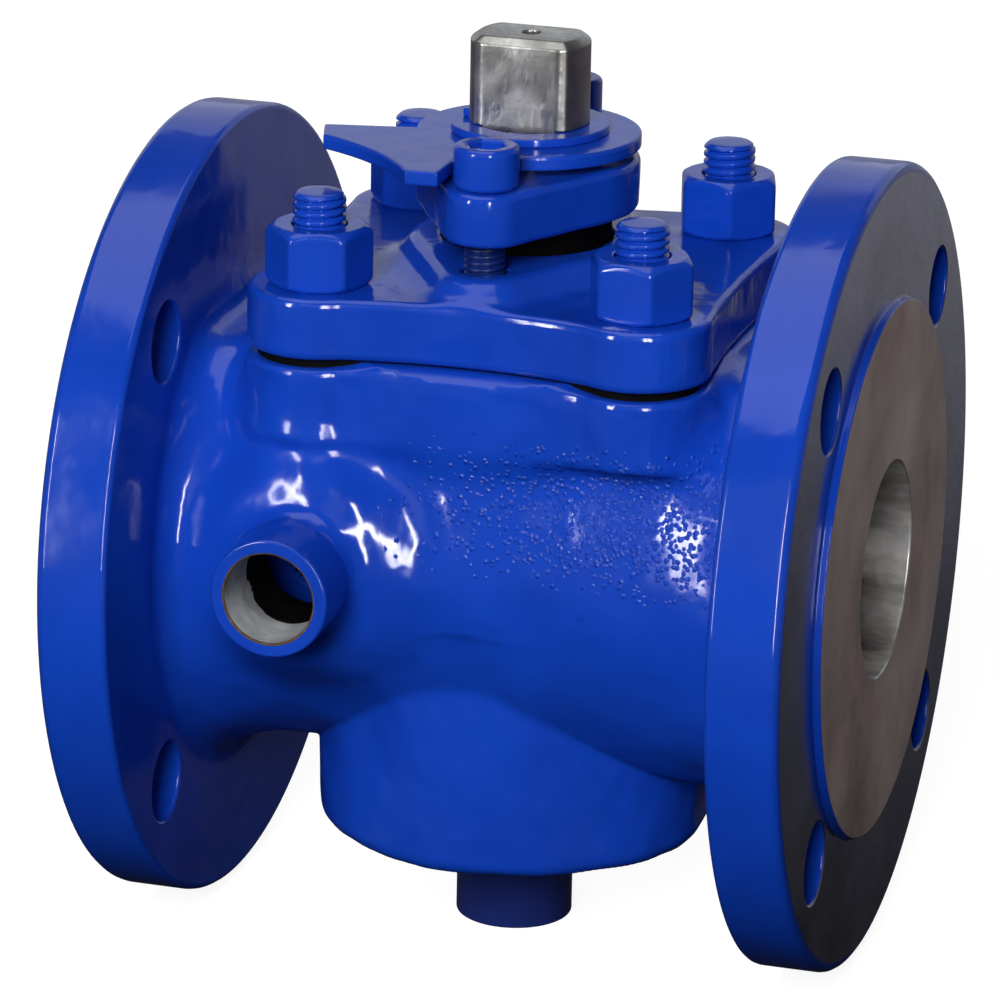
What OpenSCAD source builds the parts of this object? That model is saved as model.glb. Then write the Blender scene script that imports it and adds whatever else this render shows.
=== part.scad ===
// Steam-jacketed, sleeved plug valve with oversize round end flanges.
// Origin: where the flow bore meets the stem axis. +X runs along the flow to the outlet
// flange, +Z runs up the stem and -Y points to the side of the jacket inlet stub.

/* [End flanges] */
// Face to face length over the raised faces
face_to_face = 178; // [170:1:200]
// Outside diameter of the two end flanges
flange_d = 190.5; // [185:0.5:200]
// Thickness of a flange without its raised face
flange_t = 17; // [14:0.5:19]
// Diameter of the raised sealing face
raised_d = 127; // [110:1:130]
// Height of the raised sealing face
raised_h = 2; // [1:0.5:3]
// Bolt circle diameter of the end flanges
bolt_circle_d = 152.4; // [150:0.1:156]
// Number of bolt holes in each end flange
bolt_count = 4; // [4:4:8]
// Diameter of the flange bolt holes
bolt_hole_d = 19; // [16:0.5:20]

/* [Flow passage] */
// Round flow bore at the ends
bore_d = 51; // [45:1:52]
// Width of the round-ended port through body, sleeve and plug
port_w = 30; // [24:1:32]
// Height of the round-ended port
port_h = 44; // [36:1:46]

/* [Body casting] */
// Outside diameter of the flow tube inside the jacket
tube_d = 64; // [60:1:68]
// Outside diameter of the plug chamber
chamber_d = 76; // [74:1:80]
// Lowest level of the plug chamber
chamber_bottom = -46; // [-50:1:-44]
// Underside of the square top flange
top_flange_bottom = 34; // [32:1:36]
// Upper face of the square top flange
top_flange_top = 51; // [49:0.5:51]

/* [Steam jacket] */
// Outside diameter of the barrel around the flow tube
barrel_d = 108; // [104:1:110]
// Level at which the barrel is flattened on top
barrel_top = 49; // [47:0.5:50]
// Outside diameter of the jacket round the upper part of the plug chamber
upper_jacket_d = 100; // [96:1:102]
// Outside diameter of the deep round bowl under the barrel
bowl_d = 94; // [90:1:98]
// Underside of the bowl
bowl_bottom = -71.3; // [-74:0.1:-68]
// Wall thickness of the jacket
jacket_wall = 5; // [4:0.5:6]

/* [Jacket pipe stubs] */
// Outside diameter of the pipe stubs
stub_d = 28; // [24:0.5:30]
// Inside diameter of the pipe stubs
stub_bore_d = 21.2; // [18:0.1:22]
// Distance of the inlet stub's axis from the stem axis, towards the inlet flange
inlet_stub_x = -36.5; // [-40:0.5:-34]
// Height of the inlet stub's axis above the flow axis
inlet_stub_z = 3.5; // [0:0.5:5]
// How far the inlet stub's end stands from the flow axis
inlet_stub_reach = 79; // [72:1:84]
// Diameter of the cast pad round the inlet stub
stub_pad_d = 46; // [40:1:50]
// Lower end of the drain stub
drain_stub_bottom = -97; // [-100:0.5:-90]

/* [Bonnet cover] */
// Distance of each stud from the stem axis, along X
stud_x = 38.4; // [37:0.1:39]
// Distance of each stud from the stem axis, along Y
stud_y = 38.5; // [37:0.1:39]
// Radius of the round corner lobes of the cover and the top flange
lobe_r = 16.5; // [15:0.5:17]
// How deep the front and back sides curve inwards
side_sag = 6.3; // [4:0.1:8]
// How deep the left and right sides curve inwards
end_sag = 2; // [1:0.1:4]
// Gasket thickness, the dark gap between cover and body
gasket_t = 2; // [1:0.5:3]
// Thickness of the cover plate
cover_t = 14.5; // [13:0.5:16]
// Height of the oval pad on top of the cover
pad_h = 5; // [4:0.5:6]

/* [Studs and nuts] */
// Thread diameter of the bonnet studs
stud_d = 12.7; // [12:0.1:13]
// Level of the stud tops
stud_top = 89; // [87:0.5:90]
// Nut size across flats
nut_af = 22; // [20:0.5:22.5]
// Nut height
nut_h = 14; // [12:0.5:15]

/* [Gland] */
// Distance of each gland screw from the stem axis, along Y
gland_screw_y = 34.2; // [34:0.1:35]
// Thread diameter of the gland screws
gland_screw_d = 10; // [8:1:10]
// Diameter of the round screw heads
gland_head_d = 15.2; // [14:0.1:16]
// Height of the screw heads
gland_head_h = 10; // [8:0.5:10]
// Radius of the gland flange round the stem
gland_r = 26; // [25:0.5:27]
// Radius of the gland flange's two ends
gland_end_r = 9.5; // [9:0.5:10]
// Underside of the gland flange
gland_bottom = 80; // [79:0.5:81]
// Thickness of the gland flange
gland_t = 12.6; // [12:0.1:13]

/* [Plug and stem] */
// Radius of the tapered plug at the flow axis
plug_r = 27; // [26:0.5:28]
// Growth of the plug's radius for each millimetre of height
plug_taper = 0.08; // [0.05:0.01:0.1]
// Diameter of the stem
stem_d = 28; // [26:1:28]
// Size across the stem's two flats
stem_af = 18.5; // [18:0.5:20]
// Top of the stem
stem_top = 121; // [115:1:125]
// Wall thickness of the sleeve
sleeve_t = 3; // [2.5:0.5:3]

/* [Stop plate] */
// Underside of the stop plate
plate_bottom = 94.5; // [94:0.5:95]
// Thickness of the stop plate
plate_t = 3.5; // [3:0.5:4]
// Radius of the plate's round part
plate_r = 26.2; // [25:0.1:27]
// Thickness of the retaining ring
ring_t = 2; // [1.5:0.1:2]
// Outside diameter of the retaining ring
ring_d = 37.4; // [36:0.2:38]

/* [Hidden] */
$fn = 96;

enamel = "royalblue";
steel = "silver";
ptfe = "white";

e = 1;                                  // how far a cutter runs past the face it opens
half_length = face_to_face / 2;
flange_face = half_length - raised_h;
flange_back = flange_face - flange_t;
flange_edge = 1.2;                      // chamfer on the rims of the end flanges

// Levels of the plug and what surrounds it
plug_bottom = -34;
plug_top = 38;
sleeve_bottom = -36;
sleeve_top = 36;
cavity_bottom = -40;
port_reach = 38;                        // how far the port runs from the stem axis
run_gap = 0.05;                         // radial running clearance of the moving plug
loose_gap = 0.2;                        // radial clearance of fixed rings round the stem

// Levels of the sealing stack, from the diaphragms up
diaphragm_r = 33.9;
diaphragm_bore_r = 34;
seat_level = 40;
ptfe_bottom = 42;
ptfe_t = 1.2;
metal_t = 0.6;
diaphragm_top = ptfe_bottom + ptfe_t + metal_t;
collar_r = 24.3;
collar_top = 55;
antistatic_t = 1.2;
antistatic_r = 16.5;
cover_bottom = top_flange_top + gasket_t;
cover_top = cover_bottom + cover_t;
pad_top = cover_top + pad_h;
spigot_r = 33.8;
collar_bore_r = 24.5;
web_bottom = 57;
box_bottom = 60;                        // floor of the stuffing box
box_r = 20;
washer_t = 1.5;
packing_t = 2.5;
packing_bottom = box_bottom + washer_t;
packing_top = packing_bottom + 3 * packing_t;
follower_r = 19.8;
follower_top = 82;
gland_top = gland_bottom + gland_t;
stem_hole_r = stem_d / 2 + loose_gap;

// Studs, screws and nuts
stud_bottom = 36;
stud_hole_bottom = 35;
thread_gap = 0.1;
end_chamfer = 1.5;
// Each nut's turn about its stud, in the order of stud_places
nut_turns = [15.5, 54, 46.5, 2.5];
stud_places = [[-stud_x, -stud_y], [stud_x, -stud_y], [stud_x, stud_y], [-stud_x, stud_y]];
screw_bottom = 58;
screw_hole_bottom = 57.5;
socket_af = 8;
socket_depth = 5;

// Stop plate and retaining ring
plate_top = plate_bottom + plate_t;
stop_x = -8;                            // stop edge that meets the front screw head
arm_end_y = -46;
groove_r = 12.6;
ring_inner_r = 12.8;
ring_gap_half = 23;                     // half of the ring's opening, in degrees
ring_gap_middle = 186;                  // direction of the middle of that opening

// Pipe stubs
stub_pad_y = -58;                       // face of the pad that the inlet stub goes through
stub_inner_y = -47;                     // inner end of the inlet stub, just inside the barrel
seat_depth = 20;                        // how far the seats of the stubs are cut inwards
pad_root_depth = 16;                    // how far the pad's root lies inside the barrel
bowl_floor = 6;                         // thickness of the bowl's floor
spigot_d = stub_d - 2;                  // turned-down inner end of a stub, which fills its seat

// ---------------------------------------------------------------- shared shapes

// A round bar along X between two places
module bar_x(r, x0, x1) {
    translate([x0, 0, 0]) rotate([0, 90, 0]) cylinder(r = r, h = x1 - x0);
}

// A round bar along Z between two levels
module bar_z(r, z0, z1) {
    translate([0, 0, z0]) cylinder(r = r, h = z1 - z0);
}

// A flat ring round the stem axis
module washer(r_out, r_in, z0, z1) {
    difference() {
        bar_z(r_out, z0, z1);
        bar_z(r_in, z0 - e, z1 + e);
    }
}

// The round-ended port, cut along X
module port(extra, reach) {
    r = port_w / 2 + extra;
    lift = (port_h - port_w) / 2;
    for (side = [-1, 1])
        translate([0, 0, side * lift]) bar_x(r, -reach, reach);
    translate([-reach, -r, -lift]) cube([2 * reach, 2 * r, 2 * lift]);
}

// A cone that follows the plug's taper, offset outwards
module taper(offset_r, z0, z1) {
    translate([0, 0, z0])
        cylinder(r1 = plug_r + plug_taper * z0 + offset_r,
                 r2 = plug_r + plug_taper * z1 + offset_r, h = z1 - z0);
}

// Points along an arc round c, from angle a0 to a1
function arc(c, r, a0, a1) =
    let (steps = max(2, ceil(abs(a1 - a0) / 5)))
    [for (i = [0 : steps]) c + r * [cos(a0 + (a1 - a0) * i / steps), sin(a0 + (a1 - a0) * i / steps)]];

// Radius of the circle that sags by s over a chord of half length c
function sag_radius(s, c) = (s * s + c * c) / (2 * s);

// Four-lobed outline shared by the top flange, gasket and cover, moved inwards by inset
module square_outline(inset = 0) {
    r = lobe_r - inset;
    hx = stud_x + r;
    hy = stud_y + r;
    front_r = sag_radius(side_sag, stud_x);
    end_r = sag_radius(end_sag, stud_y);
    for (p = stud_places) translate(p) circle(r = r);
    difference() {
        square([2 * stud_x, 2 * hy], center = true);
        for (side = [-1, 1])
            translate([0, side * (hy - side_sag + front_r)]) circle(r = front_r, $fn = 240);
    }
    difference() {
        square([2 * hx, 2 * stud_y], center = true);
        for (side = [-1, 1])
            translate([side * (hx - end_sag + end_r), 0]) circle(r = end_r, $fn = 240);
    }
}

// Oval outline of the gland flange and the cover pad: a disc with a tangent lobe at each end
module oval_outline(r_mid, r_end, reach) {
    t = asin((r_mid - r_end) / reach);  // direction of the tangent points
    polygon(concat(
        arc([0, 0], r_mid, -t, t),
        arc([0, reach], r_end, t, 180 - t),
        arc([0, 0], r_mid, 180 - t, 180 + t),
        arc([0, -reach], r_end, 180 + t, 360 - t)
    ));
}

// ---------------------------------------------------------------- body

// One end flange with its raised face, pointing to +X
module end_flange() {
    rotate([0, 90, 0]) rotate_extrude()
        polygon([
            [0, flange_back],
            [flange_d / 2 - flange_edge, flange_back],
            [flange_d / 2, flange_back + flange_edge],
            [flange_d / 2, flange_face - flange_edge],
            [flange_d / 2 - flange_edge, flange_face],
            [raised_d / 2, flange_face],
            [raised_d / 2, half_length],
            [0, half_length]
        ]);
}

module valve_body() {
    color(enamel) difference() {
        union() {
            for (side = [0, 1]) mirror([side, 0, 0]) end_flange();
            bar_x(tube_d / 2, -flange_back - e, flange_back + e);
            bar_z(chamber_d / 2, chamber_bottom, top_flange_bottom + e);
            translate([0, 0, top_flange_bottom])
                linear_extrude(top_flange_top - top_flange_bottom) square_outline();
        }
        for (side = [0, 1]) mirror([side, 0, 0]) {
            bar_x(bore_d / 2, port_reach - 2, half_length + e);
            for (i = [0 : bolt_count - 1])
                rotate([(i + 0.5) * 360 / bolt_count, 0, 0])
                    translate([0, 0, bolt_circle_d / 2])
                        bar_x(bolt_hole_d / 2, flange_back - e, half_length + e);
        }
        port(0.5, port_reach);
        taper(sleeve_t, sleeve_bottom, seat_level);
        bar_z(plug_r + plug_taper * sleeve_bottom + sleeve_t, cavity_bottom, sleeve_bottom);
        bar_z(diaphragm_bore_r, seat_level, top_flange_top + e);
        for (p = stud_places) translate(p)
            bar_z(stud_d / 2 + thread_gap, stud_hole_bottom, top_flange_top + e);
    }
}

// ---------------------------------------------------------------- jacket

// The jacket's round forms, moved inwards by wall: barrel_z is the flat top of the barrel,
// bowl_z the bottom of the bowl and over how far the open ends run past the flanges
module jacket_form(wall, barrel_z, bowl_z, over) {
    meet = 6;
    intersection() {
        bar_x(barrel_d / 2 - wall, -flange_back - over, flange_back + over);
        translate([-face_to_face, -face_to_face, barrel_z - 2 * face_to_face])
            cube(2 * face_to_face);
    }
    bar_z(upper_jacket_d / 2 - wall, -meet, top_flange_bottom + meet);
    bar_z(bowl_d / 2 - wall, bowl_z, meet);
}

module steam_jacket() {
    pad_root_y = -barrel_d / 2 + pad_root_depth;
    seat_x = stud_x + lobe_r + thread_gap;
    color(enamel) difference() {
        union() {
            jacket_form(0, barrel_top, bowl_bottom, 0);
            translate([inlet_stub_x, pad_root_y, inlet_stub_z]) rotate([90, 0, 0])
                cylinder(d = stub_pad_d, h = pad_root_y - stub_pad_y);
        }
        jacket_form(jacket_wall, top_flange_bottom - jacket_wall, bowl_bottom + bowl_floor, e);
        bar_x(tube_d / 2 + loose_gap, -flange_back - e, flange_back + e);
        translate([-seat_x, -face_to_face / 2, top_flange_bottom])
            cube([2 * seat_x, face_to_face, face_to_face]);
        translate([inlet_stub_x, stub_pad_y + seat_depth, inlet_stub_z]) rotate([90, 0, 0])
            cylinder(d = spigot_d, h = seat_depth + e);
        bar_z(spigot_d / 2, bowl_bottom - e, bowl_bottom + seat_depth);
    }
}

// A pipe stub that stands on its spigot and points up +Z
module pipe_stub(length, spigot) {
    color(enamel) difference() {
        union() {
            cylinder(d = spigot_d, h = length);
            translate([0, 0, spigot]) cylinder(d = stub_d, h = length - spigot);
        }
        translate([0, 0, -e]) cylinder(d = stub_bore_d, h = length + 2 * e);
    }
}

module jacket_inlet_stub() {
    translate([inlet_stub_x, stub_inner_y, inlet_stub_z]) rotate([90, 0, 0])
        pipe_stub(inlet_stub_reach + stub_inner_y, stub_inner_y - stub_pad_y);
}

module jacket_drain_stub() {
    translate([0, 0, bowl_bottom + bowl_floor]) rotate([180, 0, 0])
        pipe_stub(bowl_bottom + bowl_floor - drain_stub_bottom, bowl_floor);
}

// ---------------------------------------------------------------- plug and sleeve

module plug_sleeve() {
    color(ptfe) difference() {
        taper(sleeve_t, sleeve_bottom, sleeve_top);
        taper(run_gap, sleeve_bottom - e, sleeve_top + e);
        port(0.5, port_reach + e);
    }
}

module tapered_plug() {
    stem_r = stem_d / 2;
    drill_r = 2.2;
    drill_depth = 4;
    color(steel) difference() {
        union() {
            taper(0, plug_bottom, plug_top);
            intersection() {
                rotate_extrude() polygon([
                    [0, plug_top - e],
                    [stem_r, plug_top - e],
                    [stem_r, plate_top],
                    [groove_r, plate_top],
                    [groove_r, plate_top + ring_t + loose_gap],
                    [stem_r, plate_top + ring_t + loose_gap],
                    [stem_r, stem_top - end_chamfer],
                    [stem_r - end_chamfer, stem_top],
                    [0, stem_top]
                ]);
                union() {
                    bar_z(stem_d, plug_top - 2 * e, plate_bottom);
                    translate([-stem_d, -stem_af / 2, plate_bottom - e])
                        cube([2 * stem_d, stem_af, stem_top]);
                }
            }
        }
        port(0, port_reach);
        bar_z(drill_r, stem_top - drill_depth, stem_top + e);
        translate([0, 0, stem_top - drill_depth - drill_r]) cylinder(r1 = 0, r2 = drill_r, h = drill_r);
    }
}

// ---------------------------------------------------------------- sealing stack

module ptfe_diaphragm() {
    color(ptfe) washer(diaphragm_r, stem_d / 2 + run_gap, ptfe_bottom, ptfe_bottom + ptfe_t);
}

module metal_diaphragm() {
    color(steel) washer(diaphragm_r, stem_hole_r, ptfe_bottom + ptfe_t, diaphragm_top);
}

module thrust_collar() {
    color(steel) washer(collar_r, stem_hole_r, diaphragm_top, collar_top);
}

module antistatic_ring() {
    color(steel) washer(antistatic_r, stem_d / 2 + run_gap, collar_top, collar_top + antistatic_t);
}

module cover_gasket() {
    rim_inset = 2.5;
    color("dimgray") difference() {
        translate([0, 0, top_flange_top]) linear_extrude(gasket_t) square_outline(rim_inset);
        bar_z(diaphragm_bore_r + loose_gap, top_flange_top - e, cover_bottom + e);
        for (p = stud_places) translate(p)
            bar_z(stud_d / 2 + 2 * loose_gap, top_flange_top - e, cover_bottom + e);
    }
}

module packing_ring(index) {
    low = packing_bottom + (index - 1) * packing_t;
    color(ptfe) washer(box_r, stem_d / 2 + run_gap, low, low + packing_t);
}

module packing_washer() {
    color(steel) washer(box_r - loose_gap, stem_hole_r, box_bottom, packing_bottom);
}
module packing_ring_1() { packing_ring(1); }
module packing_ring_2() { packing_ring(2); }
module packing_ring_3() { packing_ring(3); }

// ---------------------------------------------------------------- cover and gland

module bonnet_cover() {
    pad_mid_r = 27;
    pad_end_r = 10;
    color(enamel) difference() {
        union() {
            translate([0, 0, cover_bottom]) linear_extrude(cover_t) square_outline();
            translate([0, 0, cover_top - e]) linear_extrude(pad_h + e)
                oval_outline(pad_mid_r, pad_end_r, gland_screw_y);
            bar_z(spigot_r, diaphragm_top, cover_bottom + e);
        }
        bar_z(collar_bore_r, diaphragm_top - e, web_bottom);
        bar_z(stem_hole_r, web_bottom - e, box_bottom + e);
        bar_z(box_r, box_bottom, pad_top + e);
        for (side = [-1, 1]) translate([0, side * gland_screw_y, 0])
            bar_z(gland_screw_d / 2 + thread_gap, screw_hole_bottom, pad_top + e);
        for (p = stud_places) translate(p)
            bar_z(stud_d / 2 + 2 * loose_gap, cover_bottom - e, cover_top + e);
    }
}

module gland_follower() {
    color(steel) washer(follower_r, stem_hole_r, packing_top, follower_top);
}

module gland_flange() {
    color(enamel) difference() {
        translate([0, 0, gland_bottom]) linear_extrude(gland_t)
            oval_outline(gland_r, gland_end_r, gland_screw_y);
        bar_z(stem_hole_r + loose_gap, gland_bottom - e, gland_top + e);
        bar_z(follower_r + loose_gap, gland_bottom - e, follower_top);
        for (side = [-1, 1]) translate([0, side * gland_screw_y, 0])
            bar_z(gland_screw_d / 2 + 2 * loose_gap, gland_bottom - e, gland_top + e);
    }
}

// Socket head screws, shank down
module gland_screws() {
    rim = 0.8;
    head_r = gland_head_d / 2;
    head_top = gland_top + gland_head_h;
    color(enamel) for (side = [-1, 1]) translate([0, side * gland_screw_y, 0]) difference() {
        rotate_extrude() polygon([
            [0, screw_bottom],
            [gland_screw_d / 2 - rim, screw_bottom],
            [gland_screw_d / 2, screw_bottom + rim],
            [gland_screw_d / 2, gland_top],
            [head_r, gland_top],
            [head_r, head_top - rim],
            [head_r - rim, head_top],
            [0, head_top]
        ]);
        translate([0, 0, head_top - socket_depth])
            cylinder(d = socket_af / cos(30), h = socket_depth + e, $fn = 6);
    }
}

// ---------------------------------------------------------------- studs and nuts

module bonnet_studs() {
    color(enamel) for (p = stud_places) translate(p) rotate_extrude() polygon([
        [0, stud_bottom],
        [stud_d / 2 - end_chamfer, stud_bottom],
        [stud_d / 2, stud_bottom + end_chamfer],
        [stud_d / 2, stud_top - end_chamfer],
        [stud_d / 2 - end_chamfer, stud_top],
        [0, stud_top]
    ]);
}

module bonnet_nuts() {
    corner_r = nut_af / 2 / cos(30);
    chamfer = 1.4;
    for (i = [0 : 3])
        color(enamel) translate([stud_places[i].x, stud_places[i].y, cover_top])
            rotate([0, 0, nut_turns[i]]) difference() {
                intersection() {
                    cylinder(r = corner_r, h = nut_h, $fn = 6);
                    rotate_extrude() polygon([
                        [0, 0],
                        [corner_r - 2 * chamfer, 0],
                        [corner_r, chamfer],
                        [corner_r, nut_h - chamfer],
                        [corner_r - 2 * chamfer, nut_h],
                        [0, nut_h]
                    ]);
                }
                bar_z(stud_d / 2 + thread_gap, -e, nut_h + e);
            }
}

// ---------------------------------------------------------------- stop plate and ring

// Disc with a fan between its two stop arms; the fan's outer edge is curved inwards
module stop_outline() {
    arm_corner = [-15.5, -46.5];
    tip_low = [-43, -22.5];
    tip_high = [-46, -12.5];
    long_edge_y = -7.8;                 // edge that meets the rear screw head when shut
    fan_sag = 2.6;
    chord = arm_corner - tip_low;
    bite_r = sag_radius(fan_sag, norm(chord) / 2);
    outward = [chord.y, -chord.x] / norm(chord);
    bite_centre = (tip_low + arm_corner) / 2 + (bite_r - fan_sag) * outward;
    from_arm = arm_corner - bite_centre;
    from_tip = tip_low - bite_centre;
    disc_from = -90 - asin(-stop_x / plate_r);
    disc_to = 180 + asin(-long_edge_y / plate_r);
    polygon(concat(
        arc([0, 0], plate_r, disc_from, disc_to),
        [tip_high],
        arc(bite_centre, bite_r, atan2(from_tip.y, from_tip.x), atan2(from_arm.y, from_arm.x)),
        [[stop_x, arm_end_y]]
    ));
}

module stop_plate() {
    key_gap = 0.1;
    color(enamel) translate([0, 0, plate_bottom]) linear_extrude(plate_t) difference() {
        stop_outline();
        intersection() {
            circle(r = stem_d / 2 + key_gap);
            square([2 * stem_d, stem_af + 2 * key_gap], center = true);
        }
    }
}

// Open retaining ring of square section, snapped into the stem's groove
module retaining_ring() {
    reach = ring_d;
    color(enamel) translate([0, 0, plate_top]) linear_extrude(ring_t) difference() {
        circle(d = ring_d);
        circle(r = ring_inner_r);
        rotate(ring_gap_middle) polygon([
            [0, 0],
            reach * [cos(ring_gap_half), -sin(ring_gap_half)],
            reach * [cos(ring_gap_half), sin(ring_gap_half)]
        ]);
    }
}

valve_body();
steam_jacket();
jacket_inlet_stub();
jacket_drain_stub();
plug_sleeve();
tapered_plug();
ptfe_diaphragm();
metal_diaphragm();
thrust_collar();
antistatic_ring();
cover_gasket();
bonnet_cover();
packing_washer();
packing_ring_1();
packing_ring_2();
packing_ring_3();
gland_follower();
gland_flange();
gland_screws();
bonnet_studs();
bonnet_nuts();
stop_plate();
retaining_ring();
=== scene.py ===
"""Jacketed plug valve: the look of every visible piece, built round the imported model.

Shapes are worked out in millimetres, in the model's own frame, and scaled to metres when a mesh is made.
Round and prismatic parts are turned or extruded; cast and rounded parts are the zero surface of a signed
distance, cut into an even quad mesh and then moved exactly onto that surface.
"""
import math

import bmesh
import bpy
import numpy as np
from mathutils import Matrix, Vector

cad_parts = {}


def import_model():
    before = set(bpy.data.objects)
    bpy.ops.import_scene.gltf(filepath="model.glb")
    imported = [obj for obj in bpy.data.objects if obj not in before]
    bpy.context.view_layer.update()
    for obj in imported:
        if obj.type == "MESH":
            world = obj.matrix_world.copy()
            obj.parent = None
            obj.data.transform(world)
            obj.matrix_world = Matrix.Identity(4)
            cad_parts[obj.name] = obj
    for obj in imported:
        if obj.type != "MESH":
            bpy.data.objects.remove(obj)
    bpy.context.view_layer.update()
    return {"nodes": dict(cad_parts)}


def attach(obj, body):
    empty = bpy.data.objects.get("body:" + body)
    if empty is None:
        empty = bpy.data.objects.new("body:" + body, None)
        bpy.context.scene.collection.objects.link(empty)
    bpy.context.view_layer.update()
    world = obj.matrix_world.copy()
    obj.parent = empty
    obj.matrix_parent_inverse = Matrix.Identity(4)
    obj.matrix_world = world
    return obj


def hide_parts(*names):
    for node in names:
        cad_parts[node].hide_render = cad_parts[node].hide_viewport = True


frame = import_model()

MM = 0.001
nodes = frame["nodes"]

# Sizes in millimetres, as in the CAD model
HALF_LENGTH, FLANGE_FACE, FLANGE_BACK, FLANGE_R = 89.0, 87.0, 70.0, 95.25
RAISED_R, BORE_R, BOLT_CIRCLE_R, BOLT_HOLE_R = 63.5, 25.5, 76.2, 9.5
PORT_R, PORT_LIFT, PORT_REACH, PORT_GAP = 15.0, 7.0, 38.0, 0.5
BARREL_R, BARREL_TOP, UPPER_JACKET_R, BOWL_R, BOWL_BOTTOM = 54.0, 49.0, 50.0, 47.0, -71.3
BOWL_DRAFT = 0.022  # how much wider the bowl gets for each millimetre of height
TUBE_R, CHAMBER_R, CHAMBER_BOTTOM, WALL, BOWL_FLOOR = 32.0, 38.0, -46.0, 5.0, 6.0
TOP_FLANGE_BOTTOM, TOP_FLANGE_TOP = 34.0, 51.0
STUD_X, STUD_Y, LOBE_R, SIDE_SAG, END_SAG = 38.4, 38.5, 16.5, 6.3, 2.0
STUD_R, STUD_BOTTOM, STUD_TOP, NUT_AF, NUT_H = 6.35, 36.0, 89.0, 22.0, 14.0
NUT_TURNS = (15.5, 54.0, 46.5, 2.5)
STUDS = ((-STUD_X, -STUD_Y), (STUD_X, -STUD_Y), (STUD_X, STUD_Y), (-STUD_X, STUD_Y))
COVER_BOTTOM, COVER_TOP, PAD_TOP = 53.0, 67.5, 72.5
GLAND_Y, GLAND_R, GLAND_END_R, GLAND_BOTTOM, GLAND_TOP = 34.2, 26.0, 9.5, 80.0, 92.6
SCREW_R, SCREW_HEAD_R, SCREW_HEAD_TOP, SCREW_BOTTOM = 5.0, 7.6, 102.6, 58.0
STUB_R, STUB_BORE_R, STUB_WAY_R = 14.0, 10.6, 10.3
INLET_X, INLET_Z, INLET_END, PAD_FACE, PAD_R = -36.5, 3.5, -79.0, -58.0, 24.5
DRAIN_END = -97.0
PLUG_R, TAPER, PLUG_BOTTOM, PLUG_TOP = 27.0, 0.08, -34.0, 38.0
STEM_R, STEM_AF, STEM_TOP = 14.0, 18.5, 121.0
PLATE_BOTTOM, PLATE_TOP, PLATE_R = 94.5, 98.0, 26.2
RING_R, RING_INNER_R, RING_T = 18.7, 12.8, 2.0


# ---------------------------------------------------------------- signed distances

def smin(a, b, k):
    """The lower of two distances, with a fillet about 0.85 k in radius where they meet."""
    h = np.maximum(k - np.abs(a - b), 0) / k
    return np.minimum(a, b) - h * h * k / 4


def smax(a, b, k):
    return -smin(-a, -b, k)


def rounded_slab(side, height, low, high, edge):
    """An outline, given by its own distance, pulled up from low to high with its edges rounded."""
    side = side + edge
    flat = np.maximum(low - height, height - high) + edge
    return np.minimum(np.maximum(side, flat), 0) + np.hypot(np.maximum(side, 0), np.maximum(flat, 0)) - edge


def sag_radius(sag, half):
    return (sag * sag + half * half) / (2 * sag)


def arc_points(centre, r, a0, a1, steps):
    return [(centre[0] + r * math.cos(a), centre[1] + r * math.sin(a)) for a in np.linspace(a0, a1, steps)]


def tangent_fillet(lobe, lobe_r, bend, bend_r, fillet):
    """Centre of a fillet that touches a lobe from outside and a large concave bend from within."""
    along = Vector(bend) - Vector(lobe)
    gap = along.length
    a, b = lobe_r + fillet, bend_r - fillet
    run = (a * a - b * b + gap * gap) / (2 * gap)
    rise = math.sqrt(a * a - run * run)
    along.normalize()
    options = [Vector(lobe) + along * run + Vector((-along.y, along.x)) * rise * side for side in (-1, 1)]
    return min(options, key=lambda c: c.length)


def quarter_outline(front_fillet=16.0, end_fillet=30.0):
    """One quarter of the four-lobed outline of the top flange and the cover, from its front to its end."""
    lobe, reach_x, reach_y = (STUD_X, STUD_Y), STUD_X + LOBE_R, STUD_Y + LOBE_R
    front_r, end_r = sag_radius(SIDE_SAG, STUD_X), sag_radius(END_SAG, STUD_Y)
    parts = []
    for bend, r, middle, fillet in (((0, reach_y - SIDE_SAG + front_r), front_r, -math.pi / 2, front_fillet),
                                    ((reach_x - END_SAG + end_r, 0), end_r, math.pi, end_fillet)):
        centre = tangent_fillet(lobe, LOBE_R, bend, r, fillet)
        from_bend, to_lobe = centre - Vector(bend), Vector(lobe) - centre
        a0, a1 = math.atan2(from_bend.y, from_bend.x), math.atan2(to_lobe.y, to_lobe.x)
        bow = arc_points(bend, r, middle, a0, 10)
        bow += arc_points(centre, fillet, a0, a0 + math.remainder(a1 - a0, 2 * math.pi), 8)[1:]
        parts.append((bow, math.atan2(-to_lobe.y, -to_lobe.x)))
    (front, a0), (end, a1) = parts
    return front + arc_points(lobe, LOBE_R, a0, a1, 18)[1:-1] + end[::-1]


def curve_distance(x, y, curve):
    """Distance to a quarter outline, mirrored to all four quarters."""
    x, y = np.abs(x), np.abs(y)
    x, y = np.broadcast_arrays(x, y)
    best, inside = np.full(x.shape, 1e9), np.zeros(x.shape, bool)
    closing = [(curve[-1][0], -9.0), (-9.0, -9.0), (-9.0, curve[0][1])]
    points = curve + closing
    for i, ((ax, ay), (bx, by)) in enumerate(zip(points, points[1:] + points[:1])):
        dx, dy = bx - ax, by - ay
        if i < len(curve) - 1 and (dx or dy):
            t = np.clip(((x - ax) * dx + (y - ay) * dy) / (dx * dx + dy * dy), 0, 1)
            best = np.minimum(best, np.hypot(x - ax - t * dx, y - ay - t * dy))
        if dy:
            inside ^= ((ay > y) != (by > y)) & (x < dx * (y - ay) / dy + ax)
    return np.where(inside, -best, best)


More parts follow.
